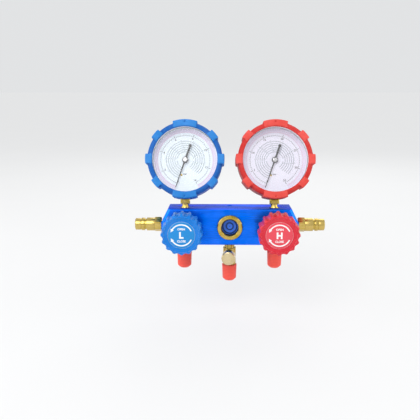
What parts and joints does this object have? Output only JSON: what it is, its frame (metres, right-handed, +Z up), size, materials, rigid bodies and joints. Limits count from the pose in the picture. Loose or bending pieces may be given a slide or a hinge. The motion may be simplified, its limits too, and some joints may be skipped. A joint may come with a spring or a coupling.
{
  "type": "refrigerant manifold gauge",
  "caption": "Refrigerant manifold block with booted pressure gauges that lean back, fluted hand valves, a sight glass, capped hose ports and hose parking stubs.",
  "frame": {"origin": "mouth of the hanger hole in the block's top face, midway between the gauges", "axes": "+Z up out of the hanger hole, -Y towards the person who reads the gauges, +X from the low side to the high side"},
  "size_m": [0.1962, 0.0814, 0.1684],
  "materials": {
    "block_blue": "bright blue anodised",
    "brass": "polished",
    "bright_steel": "bright",
    "black_steel": "semi-gloss black",
    "dial_white": "printed white",
    "pointer_black": "matt black",
    "clear_lens": "clear",
    "sight_glass": "clear",
    "seal_rubber": "black",
    "seat_plastic": "white",
    "boot_blue": "satin blue",
    "boot_red": "satin red",
    "wheel_blue": "gloss blue",
    "wheel_red": "gloss red",
    "label_blue": "printed blue",
    "label_red": "printed red",
    "cap_rubber": "satin red"
  },
  "bodies": {
    "manifold": {"manifold_block": "block_blue", "sight_glass_ring": "brass", "sight_glass_seal": "seal_rubber", "sight_glass_window": "sight_glass", "centre_tee": "brass", "centre_valve_core": "brass", "low_valve_bonnet": "brass", "low_stem_seals": "seal_rubber", "low_hose_port": "brass", "low_parking_stub": "brass", "low_gauge_case": "black_steel", "low_gauge_boot": "boot_blue", "low_gauge_vent_plug": "seal_rubber", "low_gauge_bezel": "bright_steel", "low_gauge_lens": "clear_lens", "low_gauge_dial": "dial_white", "low_gauge_dial_screws": "bright_steel", "low_gauge_socket": "brass", "low_bourdon_tube": "brass", "low_movement_frame": "brass", "low_hairspring": "brass", "high_valve_bonnet": "brass", "high_stem_seals": "seal_rubber", "high_hose_port": "brass", "high_parking_stub": "brass", "high_gauge_case": "black_steel", "high_gauge_boot": "boot_red", "high_gauge_vent_plug": "seal_rubber", "high_gauge_bezel": "bright_steel", "high_gauge_lens": "clear_lens", "high_gauge_dial": "dial_white", "high_gauge_dial_screws": "bright_steel", "high_gauge_socket": "brass", "high_bourdon_tube": "brass", "high_movement_frame": "brass", "high_hairspring": "brass"},
    "low_seat": {"low_seat_disc": "seat_plastic"},
    "low_wheel": {"low_valve_spindle": "bright_steel", "low_handwheel": "wheel_blue", "low_handwheel_label": "label_blue", "low_handwheel_screw": "bright_steel"},
    "low_needle": {"low_gauge_pointer": "pointer_black", "low_pinion_arbor": "bright_steel"},
    "low_sector": {"low_sector_gear": "brass"},
    "low_link": {"low_tube_link": "bright_steel"},
    "low_cap": {"low_port_cap": "cap_rubber"},
    "high_seat": {"high_seat_disc": "seat_plastic"},
    "high_wheel": {"high_valve_spindle": "bright_steel", "high_handwheel": "wheel_red", "high_handwheel_label": "label_red", "high_handwheel_screw": "bright_steel"},
    "high_needle": {"high_gauge_pointer": "pointer_black", "high_pinion_arbor": "bright_steel"},
    "high_sector": {"high_sector_gear": "brass"},
    "high_link": {"high_tube_link": "bright_steel"},
    "high_cap": {"high_port_cap": "cap_rubber"},
    "centre_cap": {"centre_port_cap": "cap_rubber"},
    "access_cap": {"centre_access_cap": "brass"}
  },
  "joints": [
    {"name": "low_seat_travel", "type": "slide", "parent": "manifold", "child": "low_seat", "axis": [0, -1, 0], "range_m": [0, 0.00313]},
    {"name": "low_wheel_turn", "type": "hinge", "parent": "low_seat", "child": "low_wheel", "pos_m": [-0.0473, -0.0215, -0.0185], "axis": [0, -1, 0], "range_deg": [0, 900]},
    {"name": "low_needle_turn", "type": "hinge", "parent": "manifold", "child": "low_needle", "pos_m": [-0.046, 0.00461, 0.04657], "axis": [0, 0.9703, -0.2419], "range_deg": [-22, 290], "stiffness_Nm_per_rad": 0.001},
    {"name": "low_sector_turn", "type": "hinge", "parent": "manifold", "child": "low_sector", "pos_m": [-0.03668, 0.00139, 0.03366], "axis": [0, 0.9703, -0.2419], "range_deg": [-24.18, 1.84]},
    {"name": "low_link_turn", "type": "hinge", "parent": "low_sector", "child": "low_link", "pos_m": [-0.03381, 0.0004, 0.02968], "axis": [0, 0.9703, -0.2419], "range_deg": [-1.84, 24.18]},
    {"name": "low_cap_pull", "type": "slide", "parent": "manifold", "child": "low_cap", "axis": [0, 0, -1], "range_m": [0, 0.03]},
    {"name": "high_seat_travel", "type": "slide", "parent": "manifold", "child": "high_seat", "axis": [0, -1, 0], "range_m": [0, 0.00313]},
    {"name": "high_wheel_turn", "type": "hinge", "parent": "high_seat", "child": "high_wheel", "pos_m": [0.0473, -0.0215, -0.0185], "axis": [0, -1, 0], "range_deg": [0, 900]},
    {"name": "high_needle_turn", "type": "hinge", "parent": "manifold", "child": "high_needle", "pos_m": [0.046, 0.00461, 0.04657], "axis": [0, 0.9703, -0.2419], "range_deg": [0, 300], "stiffness_Nm_per_rad": 0.001},
    {"name": "high_sector_turn", "type": "hinge", "parent": "manifold", "child": "high_sector", "pos_m": [0.05532, 0.00139, 0.03366], "axis": [0, 0.9703, -0.2419], "range_deg": [-25.01, 0.01]},
    {"name": "high_link_turn", "type": "hinge", "parent": "high_sector", "child": "high_link", "pos_m": [0.05819, 0.0004, 0.02968], "axis": [0, 0.9703, -0.2419], "range_deg": [-0.01, 25.01]},
    {"name": "high_cap_pull", "type": "slide", "parent": "manifold", "child": "high_cap", "axis": [0, 0, -1], "range_m": [0, 0.03]},
    {"name": "centre_cap_pull", "type": "slide", "parent": "manifold", "child": "centre_cap", "axis": [0, 0, -1], "range_m": [0, 0.03]},
    {"name": "access_cap_pull", "type": "slide", "parent": "manifold", "child": "access_cap", "axis": [-0.0698, -0.9976, 0], "range_m": [0, 0.02]}
  ],
  "couplings": [
    {"joint": "low_seat_travel", "follows": "low_wheel_turn", "m_per_rad": 0.00019894},
    {"joint": "low_sector_turn", "follows": "low_needle_turn", "ratio": -0.083333},
    {"joint": "low_link_turn", "follows": "low_needle_turn", "ratio": 0.083333},
    {"joint": "high_seat_travel", "follows": "high_wheel_turn", "m_per_rad": 0.00019894},
    {"joint": "high_sector_turn", "follows": "high_needle_turn", "ratio": -0.083333},
    {"joint": "high_link_turn", "follows": "high_needle_turn", "ratio": 0.083333}
  ]
}
